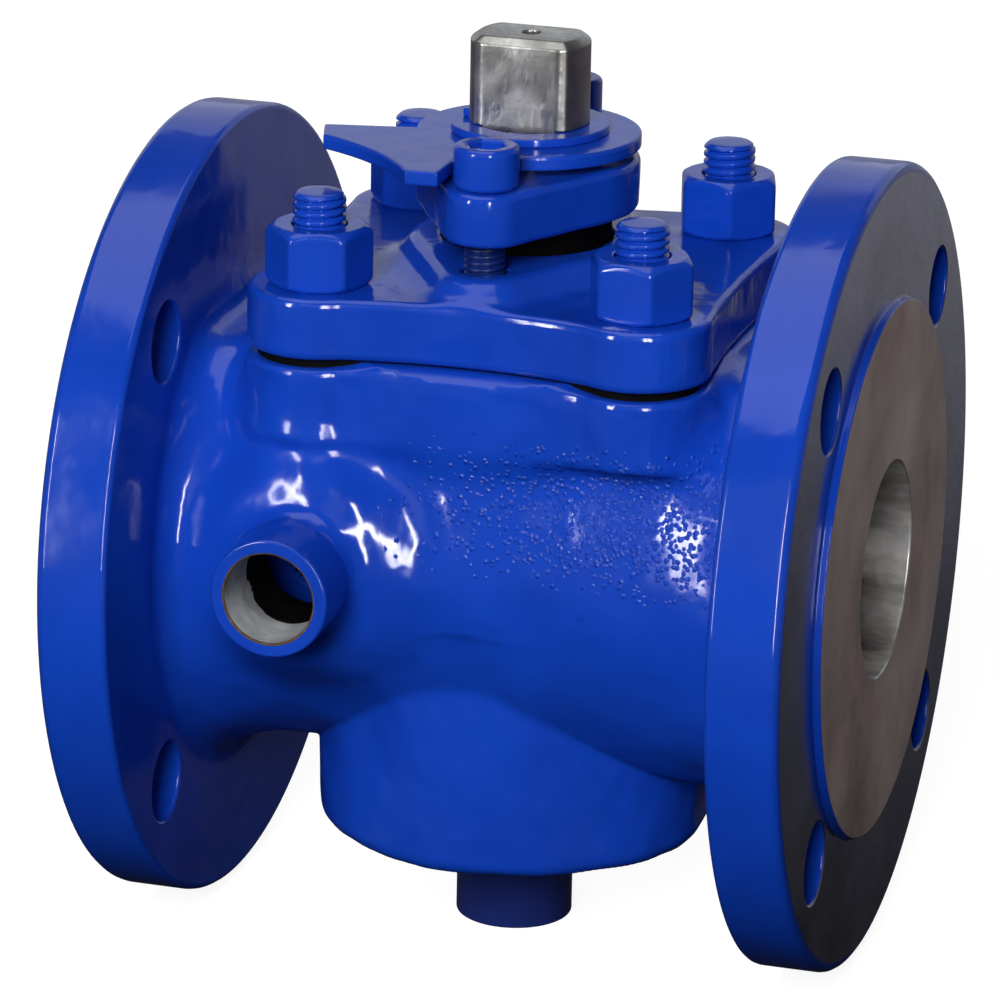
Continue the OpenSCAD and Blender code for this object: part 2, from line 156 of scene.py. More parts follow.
def oval_outline(x, y, mid_r, end_r, reach):
    """A disc with a smaller tangent lobe at each end."""
    x, y = np.abs(x), np.abs(y)
    slope = (mid_r - end_r) / reach
    across = math.sqrt(1 - slope * slope)
    along = across * y - slope * x
    lobe = np.where(along < 0, np.hypot(x, y) - mid_r, across * x + slope * y - mid_r)
    return np.where(along > across * reach, np.hypot(x, y - reach) - end_r, lobe)


def polygon_outline(x, y, points):
    """Distance to a closed polygon."""
    x, y = np.broadcast_arrays(x, y)
    best, inside = np.full(x.shape, 1e9), np.zeros(x.shape, bool)
    for (ax, ay), (bx, by) in zip(points, points[1:] + points[:1]):
        dx, dy = bx - ax, by - ay
        t = np.clip(((x - ax) * dx + (y - ay) * dy) / (dx * dx + dy * dy), 0, 1)
        best = np.minimum(best, np.hypot(x - ax - t * dx, y - ay - t * dy))
        if dy:
            inside ^= ((ay > y) != (by > y)) & (x < dx * (y - ay) / dy + ax)
    return np.where(inside, -best, best)


def lumps(seed, size, depth, waves=14):
    """Uneven cast surface: a sum of plane waves about size long, as deep as depth."""
    rng = np.random.default_rng(seed)
    turn = rng.normal(size=(waves, 3))
    turn /= np.linalg.norm(turn, axis=1)[:, None]
    turn *= (2 * math.pi / size) * rng.uniform(0.6, 1.5, (waves, 1))
    phase = rng.uniform(0, 2 * math.pi, waves)

    def height(x, y, z):
        total = sum(np.sin(a * x + b * y + c * z + p) for (a, b, c), p in zip(turn, phase))
        return total * depth / math.sqrt(waves)
    return height


OUTLINE = quarter_outline()


def square_outline(x, y):
    return curve_distance(x, y, OUTLINE)


# ---------------------------------------------------------------- meshes

def surface(sdf, xs, ys, zs, rough=None):
    """Quads on the zero surface of sdf over a grid of cuts, with the true normal at each vertex."""
    field = np.empty((len(xs), len(ys), len(zs)), np.float32)
    for i in range(0, len(xs), 12):
        field[i:i + 12] = sdf(xs[i:i + 12, None, None], ys[None, :, None], zs[None, None, :])
    inside = field < 0
    count = sum(inside[i:i - 1 or None, j:j - 1 or None, k:k - 1 or None].astype(np.int8)
                for i in (0, 1) for j in (0, 1) for k in (0, 1))
    cells = np.argwhere((count > 0) & (count < 8))
    index = np.full(count.shape, -1, np.int32)
    index[tuple(cells.T)] = np.arange(len(cells))
    cuts = (xs, ys, zs)
    total, crossings = np.zeros((len(cells), 3)), np.zeros(len(cells))
    for axis in range(3):
        u, v = [a for a in range(3) if a != axis]
        for du in (0, 1):
            for dv in (0, 1):
                low = cells.copy()
                low[:, u] += du
                low[:, v] += dv
                high = low.copy()
                high[:, axis] += 1
                a, b = field[tuple(low.T)], field[tuple(high.T)]
                hit = (a < 0) != (b < 0)
                t = np.where(hit, a / np.where(hit, a - b, 1), 0)
                for d in range(3):
                    start, end = cuts[d][low[:, d]], cuts[d][high[:, d]]
                    total[:, d] += np.where(hit, start + t * (end - start), 0)
                crossings += hit
    points = total / crossings[:, None]
    faces = []
    for axis in range(3):
        u, v = [(axis + 1) % 3, (axis + 2) % 3]
        lower = [slice(None)] * 3
        upper = [slice(None)] * 3
        lower[axis], upper[axis] = slice(0, -1), slice(1, None)
        change = inside[tuple(lower)] != inside[tuple(upper)]
        at = np.argwhere(change)
        at = at[(at[:, u] > 0) & (at[:, v] > 0) & (at[:, u] < len(cuts[u]) - 1) & (at[:, v] < len(cuts[v]) - 1)]
        quad = []
        for du, dv in ((-1, -1), (0, -1), (0, 0), (-1, 0)):
            cell = at.copy()
            cell[:, u] += du
            cell[:, v] += dv
            quad.append(index[tuple(cell.T)])
        quad = np.stack(quad, 1)
        flip = ~inside[tuple(at.T)]
        quad[flip] = quad[flip][:, ::-1]
        faces.append(quad)

    def whole(p):
        value = sdf(p[:, 0], p[:, 1], p[:, 2])
        return value - rough(p[:, 0], p[:, 1], p[:, 2]) if rough else value

    def slope(p, h):
        steps = np.eye(3) * h
        return np.stack([whole(p + s) - whole(p - s) for s in steps], 1) / (2 * h)

    start = points.copy()
    reach = 0.8 * max(xs[1] - xs[0], zs[1] - zs[0])
    for _ in range(4):
        g = slope(points, 0.05)
        points = points - (whole(points) / np.maximum((g * g).sum(1), 0.2))[:, None] * g
        points = start + np.clip(points - start, -reach, reach)
    g = slope(points, 0.2)
    normals = g / np.maximum(np.linalg.norm(g, axis=1), 1e-9)[:, None]
    return points, np.concatenate(faces), normals


def grid(low, high, step):
    return np.arange(low - 1.5 * step, high + 2.5 * step, step)


def place(obj, body, slot, materials, *replaced):
    """Gives a piece its materials, its body and the CAD nodes that it stands for; slot is not used."""
    for m in materials:
        obj.data.materials.append(m)
    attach(obj, body)
    if replaced:
        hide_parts(*replaced)
    return obj


def mesh_object(name, points, faces, normals=None):
    mesh = bpy.data.meshes.new(name)
    mesh.from_pydata((np.asarray(points) * MM).tolist(), [], [list(map(int, f)) for f in faces])
    mesh.validate()
    mesh.shade_smooth()
    if normals is not None:
        mesh.normals_split_custom_set_from_vertices(np.asarray(normals).tolist())
    obj = bpy.data.objects.new(name, mesh)
    bpy.context.scene.collection.objects.link(obj)
    return obj


def solid(name, sdf, box, step, rough=None):
    """A piece from a signed distance, inside box, as quads of about one step."""
    xs, ys, zs = (grid(a, b, step) for a, b in box)
    return mesh_object(name, *surface(sdf, xs, ys, zs, rough))


def moved(parts, places, turns=None):
    """Copies of one shape at several places round the Z axis, as one shape."""
    points, faces, normals = parts
    out, at = [[], [], []], 0
    for i, (px, py) in enumerate(places):
        t = math.radians(turns[i]) if turns else 0.0
        rot = np.array(((math.cos(t), -math.sin(t), 0), (math.sin(t), math.cos(t), 0), (0, 0, 1)))
        out[0].append(points @ rot.T + (px, py, 0))
        out[1].append(np.asarray(faces) + at)
        out[2].append(normals @ rot.T)
        at += len(points)
    return [np.concatenate(o) for o in out]


def corners(profile, steps=4):
    """A profile of (radius, height, rounding) points with its corners rounded."""
    out = []
    n = len(profile)
    for i, (r, z, f) in enumerate(profile):
        p = Vector((r, z))
        if not f:
            out.append((r, z))
            continue
        a = (Vector(profile[i - 1][:2]) - p).normalized()
        b = (Vector(profile[(i + 1) % n][:2]) - p).normalized()
        half = a.angle(b) / 2
        centre = p + (a + b).normalized() * (f / math.sin(half))
        start = p + a * (f / math.tan(half)) - centre
        end = p + b * (f / math.tan(half)) - centre
        sweep = math.atan2(start.x * end.y - start.y * end.x, start.dot(end))
        for s in range(steps + 1):
            c, d = math.cos(sweep * s / steps), math.sin(sweep * s / steps)
            out.append((centre.x + start.x * c - start.y * d, centre.y + start.x * d + start.y * c))
    return out


def turned(name, profile, matrix, segments=96):
    """A closed ring turned round an axis, from a closed profile."""
    angles = np.arange(segments) * 2 * math.pi / segments
    rz = np.array(profile)
    n = len(rz)
    points = np.stack([np.outer(np.cos(angles), rz[:, 0]), np.outer(np.sin(angles), rz[:, 0]),
                       np.broadcast_to(rz[:, 1], (segments, n))], -1).reshape(-1, 3)
    points = points @ np.array(matrix.to_3x3()).T + np.array(matrix.translation)
    faces = [(i * n + j, ((i + 1) % segments) * n + j, ((i + 1) % segments) * n + (j + 1) % n, i * n + (j + 1) % n)
             for i in range(segments) for j in range(n)]
    obj = mesh_object(name, points, faces)
    outward(obj)
    return obj


def outward(obj):
    shape = bmesh.new()
    shape.from_mesh(obj.data)
    bmesh.ops.remove_doubles(shape, verts=shape.verts, dist=1e-8)
    bmesh.ops.recalc_face_normals(shape, faces=shape.faces)
    shape.to_mesh(obj.data)
    shape.free()


def baked(obj):
    """Applies a piece's modifiers to its mesh."""
    evaluated = obj.evaluated_get(bpy.context.evaluated_depsgraph_get())
    mesh = bpy.data.meshes.new_from_object(evaluated)
    obj.modifiers.clear()
    obj.data = mesh
    return obj


def cut(obj, cutters):
    for c in cutters:
        m = obj.modifiers.new("cut", "BOOLEAN")
        m.object, m.operation, m.solver = c, "DIFFERENCE", "EXACT"
    baked(obj)
    for c in cutters:
        bpy.data.objects.remove(c)
    return obj


def even_shading(obj, angle=38):
    """Smooth shading with flats that stay flat, and sharp edges above an angle."""
    obj.data.shade_smooth()
    obj.data.set_sharp_from_angle(angle=math.radians(angle))
    m = obj.modifiers.new("normals", "WEIGHTED_NORMAL")
    m.keep_sharp, m.weight = True, 80
    return baked(obj)


def threaded(radius, pitch, depth, low, high, thread_from, bevel, segments=48):
    """A rod with a real helical thread above thread_from and a bevelled, slightly domed top."""
    shank = [low, thread_from - 0.4]
    cuts = np.concatenate([shank, np.arange(thread_from, high - bevel, pitch / 10), np.linspace(high - bevel, high, 6)])
    angles = np.arange(segments) * 2 * math.pi / segments
    z, a = np.meshgrid(cuts, angles, indexing="ij")
    wave = np.abs(((z / pitch - a / (2 * math.pi)) % 1) * 2 - 1)
    groove = np.clip((wave - 0.3) / 0.6, 0, 1)  # broad crests, narrow grooves
    run_out = np.clip((z - thread_from) / pitch, 0, 1)
    r = radius - depth * groove * run_out
    end = np.clip((z - (high - bevel)) / bevel, 0, 1)
    r = np.minimum(r, radius - 0.2 - bevel * 0.9 * end ** 1.5)
    points = np.stack([r * np.cos(a), r * np.sin(a), z], -1).reshape(-1, 3)
    rows = len(cuts)
    faces = [(i * segments + j, i * segments + (j + 1) % segments,
              (i + 1) * segments + (j + 1) % segments, (i + 1) * segments + j)
             for i in range(rows - 1) for j in range(segments)]
    inner = points[-segments:] * (0.55, 0.55, 1)
    points = np.concatenate([points, inner, [(0, 0, high), (0, 0, low)]])
    top, ring = len(points) - 2, (rows - 1) * segments
    for j in range(segments):
        k = (j + 1) % segments
        faces.append((ring + j, ring + k, ring + segments + k, ring + segments + j))
        faces.append((ring + segments + j, ring + segments + k, top))
        faces.append((k, j, top + 1))
    return points, faces


def copies(name, points, faces, places):
    """One piece made of the same shape at several places."""
    all_points, all_faces, at = [], [], 0
    for px, py in places:
        all_points.append(points + (px, py, 0))
        all_faces += [[v + at for v in f] for f in faces]
        at += len(points)
    return mesh_object(name, np.concatenate(all_points), all_faces)


# ---------------------------------------------------------------- materials

def material(name, build):
    m = bpy.data.materials.new(name)
    m.use_nodes = True
    tree = m.node_tree
    shader = tree.nodes["Principled BSDF"]
    build(tree, shader)
    return m


def node(tree, kind, links=None, **values):
    """A node with its inputs set by name, from a number, a colour or another node's output."""
    n = tree.nodes.new(kind)
    for key, value in values.items():
        setattr(n, key, value)
    for key, value in (links or {}).items():
        if isinstance(value, bpy.types.NodeSocket):
            tree.links.new(value, n.inputs[key])
        else:
            n.inputs[key].default_value = value
    return n


def noise(tree, scale, detail=4.0, rough=0.55, stretch=None, warp=0.0):
    """Noise in the row frame, scale waves to the metre, stretched along each axis."""
    where = node(tree, "ShaderNodeTexCoord").outputs["Object"]
    if stretch:
        where = node(tree, "ShaderNodeMapping", {"Vector": where, "Scale": stretch}).outputs["Vector"]
    return node(tree, "ShaderNodeTexNoise", {"Vector": where, "Scale": scale, "Detail": detail,
                                             "Roughness": rough, "Distortion": warp}).outputs["Fac"]


def ramp(tree, value, *stops):
    """A colour ramp of (place, colour or grey) stops."""
    n = node(tree, "ShaderNodeValToRGB", {"Fac": value})
    while len(n.color_ramp.elements) < len(stops):
        n.color_ramp.elements.new(0.5)
    for e, (place_, colour) in zip(n.color_ramp.elements, stops):
        e.position = place_
        e.color = (*colour, 1) if isinstance(colour, tuple) else (colour, colour, colour, 1)
    return n.outputs["Color"]


def mixed(tree, a, b, by, kind="MIX"):
    n = node(tree, "ShaderNodeMix", data_type="RGBA", blend_type=kind)
    for socket, value in (("Factor", by), ("A", a), ("B", b)):
        target = [i for i in n.inputs if i.name == socket and i.enabled][0]
        if isinstance(value, bpy.types.NodeSocket):
            tree.links.new(value, target)
        elif socket == "Factor":
            target.default_value = value
        else:
            target.default_value = (*value, 1)
    return [o for o in n.outputs if o.enabled][0]


def bumped(tree, shader, *layers):
    """Stacks bumps of (height, depth in metres) on the shader's normal."""
    last = None
    for height, depth in layers:
        links = {"Height": height, "Distance": depth, "Strength": 1.0}
        if last:
            links["Normal"] = last
        last = node(tree, "ShaderNodeBump", links).outputs["Normal"]
    tree.links.new(last, shader.inputs["Normal"])


def span(tree, value, low, high, fade):
    """1 between low and high, fading to 0 on both sides."""
    up = node(tree, "ShaderNodeMapRange", {"Value": value, "From Min": low - fade, "From Max": low}).outputs[0]
    down = node(tree, "ShaderNodeMapRange", {"Value": value, "From Min": high + fade, "From Max": high}).outputs[0]
    return node(tree, "ShaderNodeMath", {0: up, 1: down}, operation="MULTIPLY").outputs[0]


def droplets(tree):
    """Small round drops of paint: crowded on the barrel's upper side near the outlet flange, rare elsewhere."""
    where = node(tree, "ShaderNodeTexCoord").outputs["Object"]
    axes = node(tree, "ShaderNodeSeparateXYZ", {"Vector": where}).outputs
    band = node(tree, "ShaderNodeMath", {0: span(tree, axes[2], 0.015, 0.028, 0.012),
                                         1: span(tree, axes[0], 0.035, 0.075, 0.055)}, operation="MULTIPLY")
    cells = node(tree, "ShaderNodeTexVoronoi", {"Vector": where, "Scale": 820.0}).outputs
    chance = node(tree, "ShaderNodeSeparateXYZ", {"Vector": cells["Color"]}).outputs[0]
    kept = node(tree, "ShaderNodeMath", {0: chance, 1: band.outputs[0]}, operation="LESS_THAN").outputs[0]
    dome = ramp(tree, cells["Distance"], (0.08, 1.0), (0.30, 0.66), (0.54, 0.0))
    return node(tree, "ShaderNodeMath", {0: dome, 1: kept}, operation="MULTIPLY").outputs[0]


def enamel(cast, low=(0.0050, 0.049, 0.455), high=(0.0070, 0.062, 0.545)):
    """Glossy royal-blue enamel: brushed on, over a cast or a machined surface."""
    def build(tree, shader):
        shade = noise(tree, 34, 3)
        colour = ramp(tree, shade, (0.3, low), (0.7, high))
        thin = ramp(tree, noise(tree, 150, 5, 0.6, warp=0.6), (0.70, 0.0), (0.80, 1.0))
        colour = mixed(tree, colour, (0.002, 0.020, 0.26), thin)
        tree.links.new(colour, shader.inputs["Base Color"])
        gloss = ramp(tree, noise(tree, 60, 4), (0.35, 0.09), (0.65, 0.18))
        tree.links.new(gloss, shader.inputs["Roughness"])
        shader.inputs["IOR"].default_value = 1.5
        brush = noise(tree, 400, 2, 0.5, (1.0, 1.0, 0.6), 0.5)
        if cast:
            bumped(tree, shader, (noise(tree, 90, 2, 0.5), 0.0004), (brush, 0.00002), (droplets(tree), 0.00032))
        else:
            bumped(tree, shader, (noise(tree, 70, 2, 0.5), 0.0003), (brush, 0.00002))
    return build


def bare(low, middle, high, rough):
    """Machined and left unpainted: iron with a thin, patchy film on it."""
    def build(tree, shader):
        colour = ramp(tree, noise(tree, 20, 5, 0.6), (0.30, low), (0.5, middle), (0.72, high))
        tree.links.new(colour, shader.inputs["Base Color"])
        shader.inputs["Metallic"].default_value = 1.0
        gloss = ramp(tree, noise(tree, 45, 4), (0.3, rough - 0.05), (0.7, rough + 0.05))
        tree.links.new(gloss, shader.inputs["Roughness"])
        bumped(tree, shader, (noise(tree, 900, 2, 0.5), 0.00003), (noise(tree, 60, 3), 0.0002))
    return build


def bright_bore(tree, shader):
    """The machined flow bore: brighter grey steel."""
    colour = ramp(tree, noise(tree, 60, 6, 0.65, (0.4, 1.0, 1.0)), (0.34, (0.14, 0.125, 0.115)),
                  (0.48, (0.55, 0.53, 0.51)), (0.62, (0.95, 0.93, 0.91)))
    tree.links.new(colour, shader.inputs["Base Color"])
    shader.inputs["Metallic"].default_value = 0.6
    gloss = ramp(tree, noise(tree, 70, 4), (0.3, 0.28), (0.7, 0.42))
    tree.links.new(gloss, shader.inputs["Roughness"])
    bumped(tree, shader, (noise(tree, 500, 3, 0.5), 0.00006), (noise(tree, 90, 3), 0.0003))


def stub_bore(tree, shader):
    """Inside of a pipe stub: silvery, with a rusty rim."""
    colour = ramp(tree, noise(tree, 70, 5, 0.6), (0.34, (0.22, 0.23, 0.25)), (0.62, (0.80, 0.83, 0.87)))
    tree.links.new(colour, shader.inputs["Base Color"])
    shader.inputs["Metallic"].default_value = 0.3
    gloss = ramp(tree, noise(tree, 90, 4), (0.3, 0.26), (0.7, 0.40))
    tree.links.new(gloss, shader.inputs["Roughness"])
    bumped(tree, shader, (noise(tree, 160, 4, 0.6), 0.0003))


def rust(tree, shader):
    """The thin, broken edge of paint and rust round a stub's mouth."""
    colour = ramp(tree, noise(tree, 420, 6, 0.7), (0.3, (0.030, 0.017, 0.010)), (0.55, (0.12, 0.066, 0.032)),
                  (0.8, (0.24, 0.16, 0.09)))
    tree.links.new(colour, shader.inputs["Base Color"])
    shader.inputs["Roughness"].default_value = 0.75
    bumped(tree, shader, (noise(tree, 900, 5, 0.7), 0.0003))


def stem_steel(tree, shader):
    """Worn ground steel: upright brush marks, cloudy stains and bright scuffs."""
    cloud = noise(tree, 90, 6, 0.6, warp=0.3)
    colour = ramp(tree, cloud, (0.30, (0.30, 0.29, 0.27)), (0.5, (0.46, 0.455, 0.44)), (0.66, (0.70, 0.70, 0.68)))
    lines = ramp(tree, noise(tree, 700, 3, 0.6, (1.0, 1.0, 0.06)), (0.35, 0.75), (0.65, 1.0))
    colour = mixed(tree, colour, lines, 0.6, "MULTIPLY")
    tree.links.new(colour, shader.inputs["Base Color"])
    shader.inputs["Metallic"].default_value = 0.95
    gloss = ramp(tree, noise(tree, 120, 5), (0.3, 0.26), (0.7, 0.46))
    tree.links.new(gloss, shader.inputs["Roughness"])
    bumped(tree, shader, (noise(tree, 800, 3, 0.6, (1.0, 1.0, 0.08)), 0.00004), (noise(tree, 110, 4), 0.0003))


def plain(low, high, rough, metal, scale, gloss_level=0.5):
    """A slightly mottled surface for inner pieces and seals, and for dark colour painted in as shade."""
    def build(tree, shader):
        shader.inputs["Specular IOR Level"].default_value = gloss_level
        tree.links.new(ramp(tree, noise(tree, scale, 4), (0.3, low), (0.7, high)), shader.inputs["Base Color"])
        shader.inputs["Metallic"].default_value = metal
        gloss = ramp(tree, noise(tree, 2 * scale, 3), (0.3, rough - 0.06), (0.7, rough + 0.06))
        tree.links.new(gloss, shader.inputs["Roughness"])
        bumped(tree, shader, (noise(tree, 6 * scale, 3), 0.00005))
    return build


CAST = material("enamel_cast", enamel(True))
PAINT = material("enamel_machined", enamel(False))
# Darker, greyer enamel for the drain stub: painted shade from the bowl above it.
DRAIN_PAINTED_SHADE = material("enamel_drain_painted_shade", enamel(False, (0.0085, 0.019, 0.130), (0.0125, 0.027, 0.185)))
BARE = material("bare_iron", bare((0.33, 0.225, 0.175), (0.58, 0.44, 0.375), (0.78, 0.64, 0.57), 0.46))
FACE = material("bare_face", bare((0.24, 0.235, 0.27), (0.32, 0.315, 0.36), (0.38, 0.375, 0.42), 0.20))
BORE = material("machined_bore", bright_bore)
STUB_BORE = material("stub_bore", stub_bore)
RUST = material("rusty_rim", rust)
STEEL = material("ground_steel", stem_steel)
# Darker steel for the stem's round sides: painted shade on the sides turned from the light.
STEM_SIDE_SHADE = material("steel_painted_shade", plain((0.18, 0.145, 0.135), (0.31, 0.26, 0.245), 0.42, 0.9, 120))
# Very dark blue enamel: painted shade for the screw shanks under the gland.
ENAMEL_PAINTED_SHADE = material("enamel_painted_shade_under_gland", plain((0.002, 0.012, 0.10), (0.003, 0.020, 0.16), 0.35, 0.0, 90))
INNER = material("inner_steel", plain((0.30, 0.30, 0.30), (0.45, 0.45, 0.44), 0.35, 1.0, 60))
PTFE = material("white_ptfe", plain((0.78, 0.77, 0.73), (0.86, 0.85, 0.82), 0.42, 0.0, 50))
# Near black: the gasket's own graphite colour, and painted shade on the gland follower and in the stub ways.
GRAPHITE_AND_SHADE = material("graphite", plain((0.002, 0.002, 0.002), (0.005, 0.005, 0.005), 0.8, 0.0, 200, 0.05))


# ---------------------------------------------------------------- cast body with its jacket

def casting_sdf(x, y, z):
    """Jacket, top flange, pad and welds in one, less the passages and the two mouths of the steam space."""
    ax = np.abs(x)
    off_x, off_z = np.hypot(y, z), np.hypot(x, y)
    flare = np.where(x > 0, np.maximum(ax - 24, 0) ** 2 / 640,
                     0.02 * np.clip(ax - 50, 0, 10) ** 2 + 0.4 * np.maximum(ax - 60, 0))
    barrel = smax(off_x - BARREL_R - flare, z - BARREL_TOP, 3)
    upper = np.maximum(off_z - UPPER_JACKET_R, np.maximum(z - TOP_FLANGE_TOP + 3, -6 - z))
    outer = smin(barrel, upper, 6)
    top = rounded_slab(square_outline(x, y), z, TOP_FLANGE_BOTTOM, TOP_FLANGE_TOP, 1.3)
    outer = smin(outer, top, 11)
    bowl = rounded_slab(off_z - BOWL_R - BOWL_DRAFT * (z - BOWL_BOTTOM), z, BOWL_BOTTOM, 0, 3.5)
    outer = smin(outer, bowl, 0.8)
    from_stub = np.hypot(x - INLET_X, z - INLET_Z)
    pad = rounded_slab(from_stub - PAD_R, -y, 30, -PAD_FACE, 9)
    outer = smin(outer, pad, 13)
    weld = rounded_slab(from_stub - STUB_R + 0.25, -y, 50, -PAD_FACE + 6.5, 0.2)
    outer = smin(outer, weld, 6)
    weld = rounded_slab(off_z - STUB_R + 0.25, -z, 60, -BOWL_BOTTOM + 3, 0.2)
    outer = smin(outer, weld, 2)
    plate = np.maximum(np.maximum(FLANGE_BACK + 0.06 - ax, ax - FLANGE_BACK - 2.4), off_x - 65.6)
    outer = smin(outer, plate, 7)
    outer = np.maximum(outer, ax - FLANGE_BACK - 2.4)

    bore = np.maximum(off_x - BORE_R, PORT_REACH - 2 - ax)
    port = np.maximum(np.hypot(y, np.maximum(np.abs(z) - PORT_LIFT, 0)) - PORT_R - PORT_GAP, ax - PORT_REACH)
    cavity = np.maximum(off_z - PLUG_R - 3 - TAPER * z, np.maximum(-40 - z, z - 41))
    well = np.maximum(off_z - 34, 40 - z)
    holes = np.maximum(np.hypot(ax - STUD_X, np.abs(y) - STUD_Y) - STUD_R - 0.1, 35 - z)
    steam = np.maximum(np.maximum(off_x - BARREL_R + WALL, z - 29), TUBE_R - off_x)
    steam = np.maximum(steam, CHAMBER_R - off_z)
    near = np.maximum(steam, np.hypot(from_stub, (y + 40) * 0.8) - 17)
    low = np.maximum(np.maximum(off_z - BOWL_R + WALL, BOWL_BOTTOM + BOWL_FLOOR - z), z - CHAMBER_BOTTOM)
    low = np.maximum(low, np.hypot(off_z, z + 56) - 18)
    way_in = np.maximum(from_stub - STUB_WAY_R, y + 44)
    way_out = np.maximum(off_z - STUB_WAY_R, z + 58)
    inner = np.minimum.reduce(np.broadcast_arrays(bore, port, cavity, well, holes, near, low, way_in, way_out))
    return smax(outer, -inner, 0.8)


def casting():
    """The cast body, uneven outside and exact where the flanges, the cover and the plug meet it."""
    uneven = lumps(11, 26, 0.24)
    fine = lumps(12, 10, 0.05, 18)

    def rough(x, y, z):
        outside = np.clip((np.maximum(np.hypot(y, z), np.hypot(x, y)) - 44) / 3, 0, 1)
        level = np.clip((TOP_FLANGE_TOP - 1.5 - z) / 2, 0, 1) * np.clip((FLANGE_BACK - 1 - np.abs(x)) / 5, 0, 1)
        return (uneven(x, y, z) + fine(x, y, z)) * outside * level

    step = 1.2
    xs, ys, zs = grid(-72.4, 72.4, step), grid(-73, 73, step), grid(-73.2, 73, step)
    points, faces, normals = surface(casting_sdf, xs, ys, zs, rough)
    level = np.clip((np.abs(points[:, 0]) - FLANGE_BACK + 1) / 0.9, 0, 1)[:, None]
    level *= (np.hypot(points[:, 1], points[:, 2]) > 60)[:, None]
    back = np.stack([-np.sign(points[:, 0]), 0 * points[:, 0], 0 * points[:, 0]], 1)
    normals = normals * (1 - level) + back * level
    normals /= np.linalg.norm(normals, axis=1)[:, None]
    obj = hollow_ends(mesh_object("valve_casting", points, faces), normals)
    place(obj, "body", "enamel", (CAST, BORE, GRAPHITE_AND_SHADE), "valve_body", "steam_jacket")
    for f in obj.data.polygons:
        x, y, z = f.center / MM
        if math.hypot(y, z) < PORT_R + PORT_LIFT + 5 and abs(x) > PLUG_R + 2:
            f.material_index = 1
        # The ways behind the stubs are painted near black: painted shade inside the holes.
        elif (y < 0 and math.hypot(x - INLET_X, z - INLET_Z) < STUB_R - 1) or (z < 0 and math.hypot(x, y) < STUB_R - 1):
            f.material_index = 2
    return obj


def hollow_ends(obj, normals):
    """Swaps the hidden flat ends inside the flanges for one plain strip of long faces each."""
    shape = bmesh.new()
    shape.from_mesh(obj.data)
    origin = shape.verts.layers.int.new("origin")
    for i, v in enumerate(shape.verts):
        v[origin] = i
    for side in (-1, 1):
        flat = [f for f in shape.faces if all(side * v.co.x > (FLANGE_BACK + 2.2) * MM
                                              and 27.5 < v.co.yz.length / MM < 64 for v in f.verts)]
        bmesh.ops.delete(shape, geom=flat, context="FACES")
        bmesh.ops.bridge_loops(shape, edges=[e for e in shape.edges if e.is_boundary])
    kept = [normals[v[origin]] for v in shape.verts]
    shape.verts.layers.int.remove(origin)
    shape.to_mesh(obj.data)
    shape.free()
    obj.data.normals_split_custom_set_from_vertices(kept)
    return obj


def flange(name, side):
    """End flange with its raised face, bore and four bolt holes: painted all over but the faces."""
    profile = corners([
        (BORE_R, FLANGE_BACK + 2.5, 0), (BORE_R, HALF_LENGTH, 0.5), (RAISED_R, HALF_LENGTH, 0.4),
        (RAISED_R, FLANGE_FACE, 0.6), (FLANGE_R, FLANGE_FACE, 2.4), (FLANGE_R, FLANGE_BACK + 0.02, 1.6),
        (60, FLANGE_BACK + 0.02, 0), (60, FLANGE_BACK + 2.5, 0)])
    along_x = Matrix.Rotation(math.radians(90 * side), 4, "Y")
    obj = turned(name, profile, along_x, 160)
    cutters = []
    for i in range(4):
        a = math.radians(45 + 90 * i)
        hole = [(0, FLANGE_BACK - 3), (BOLT_HOLE_R + 0.9, FLANGE_BACK - 3), (BOLT_HOLE_R + 0.9, FLANGE_BACK)]
        hole += [(BOLT_HOLE_R + 0.9 - 0.9 * math.sin(t), FLANGE_BACK + 0.9 - 0.9 * math.cos(t))
                 for t in np.linspace(0.2, math.pi / 2, 4)]
        hole += [(BOLT_HOLE_R + 0.7 - 0.7 * math.sin(t), FLANGE_FACE - 0.7 + 0.7 * math.cos(t))
                 for t in np.linspace(math.pi / 2, 0.2, 4)]
        hole += [(BOLT_HOLE_R + 0.7, FLANGE_FACE), (BOLT_HOLE_R + 0.7, FLANGE_FACE + 3), (0, FLANGE_FACE + 3)]
        at = Matrix.Translation((0, BOLT_CIRCLE_R * math.cos(a), BOLT_CIRCLE_R * math.sin(a)))
        cutters.append(turned("hole", hole, at @ along_x, 48))
    cut(obj, cutters)
    even_shading(obj)
    place(obj, "body", "enamel", (PAINT, BARE, BORE, FACE))
    for f in obj.data.polygons:
        c, n = f.center / MM, f.normal
        r = math.hypot(c.y, c.z)
        if r < BORE_R + 0.6:
            f.material_index = 2
        elif abs(n.x) > 0.9 and abs(c.x) > FLANGE_FACE - 0.2 and r < FLANGE_R - 2.2:
            f.material_index = 1 if r < RAISED_R + 0.2 else 3
    return obj


casting()
flange("outlet_flange", 1)
flange("inlet_flange", -1)


def stub(name, replaced, end, base, matrix, paint=PAINT):
    """A pipe stub: painted outside and on its end, bare inside with a rusty rim."""
    profile = corners([
        (STUB_BORE_R, base, 0), (STUB_BORE_R, end, 0.5), (STUB_R, end, 0.7), (STUB_R, base, 0)])
    obj = even_shading(turned(name, profile, matrix, 96))
    place(obj, "body", "enamel", (paint, STUB_BORE, RUST), replaced)
    inverse = matrix.inverted()
    for f in obj.data.polygons:
        c = inverse @ (f.center / MM)
        r = math.hypot(c.x, c.y)
        if r < STUB_BORE_R + 0.45:
            f.material_index = 2 if c.z > end - 0.8 - 1.6 * (c.x < 0) else 1
    return obj


stub("inlet_stub", "jacket_inlet_stub", -INLET_END, 55.5,
     Matrix.Translation((INLET_X, 0, INLET_Z)) @ Matrix.Rotation(math.radians(90), 4, "X"))
# The drain stub takes the darker enamel, painted shade under the bowl.
stub("drain_stub", "jacket_drain_stub", -DRAIN_END, 69, Matrix.Rotation(math.radians(180), 4, "X"), DRAIN_PAINTED_SHADE)


# ---------------------------------------------------------------- cover, gland and fasteners

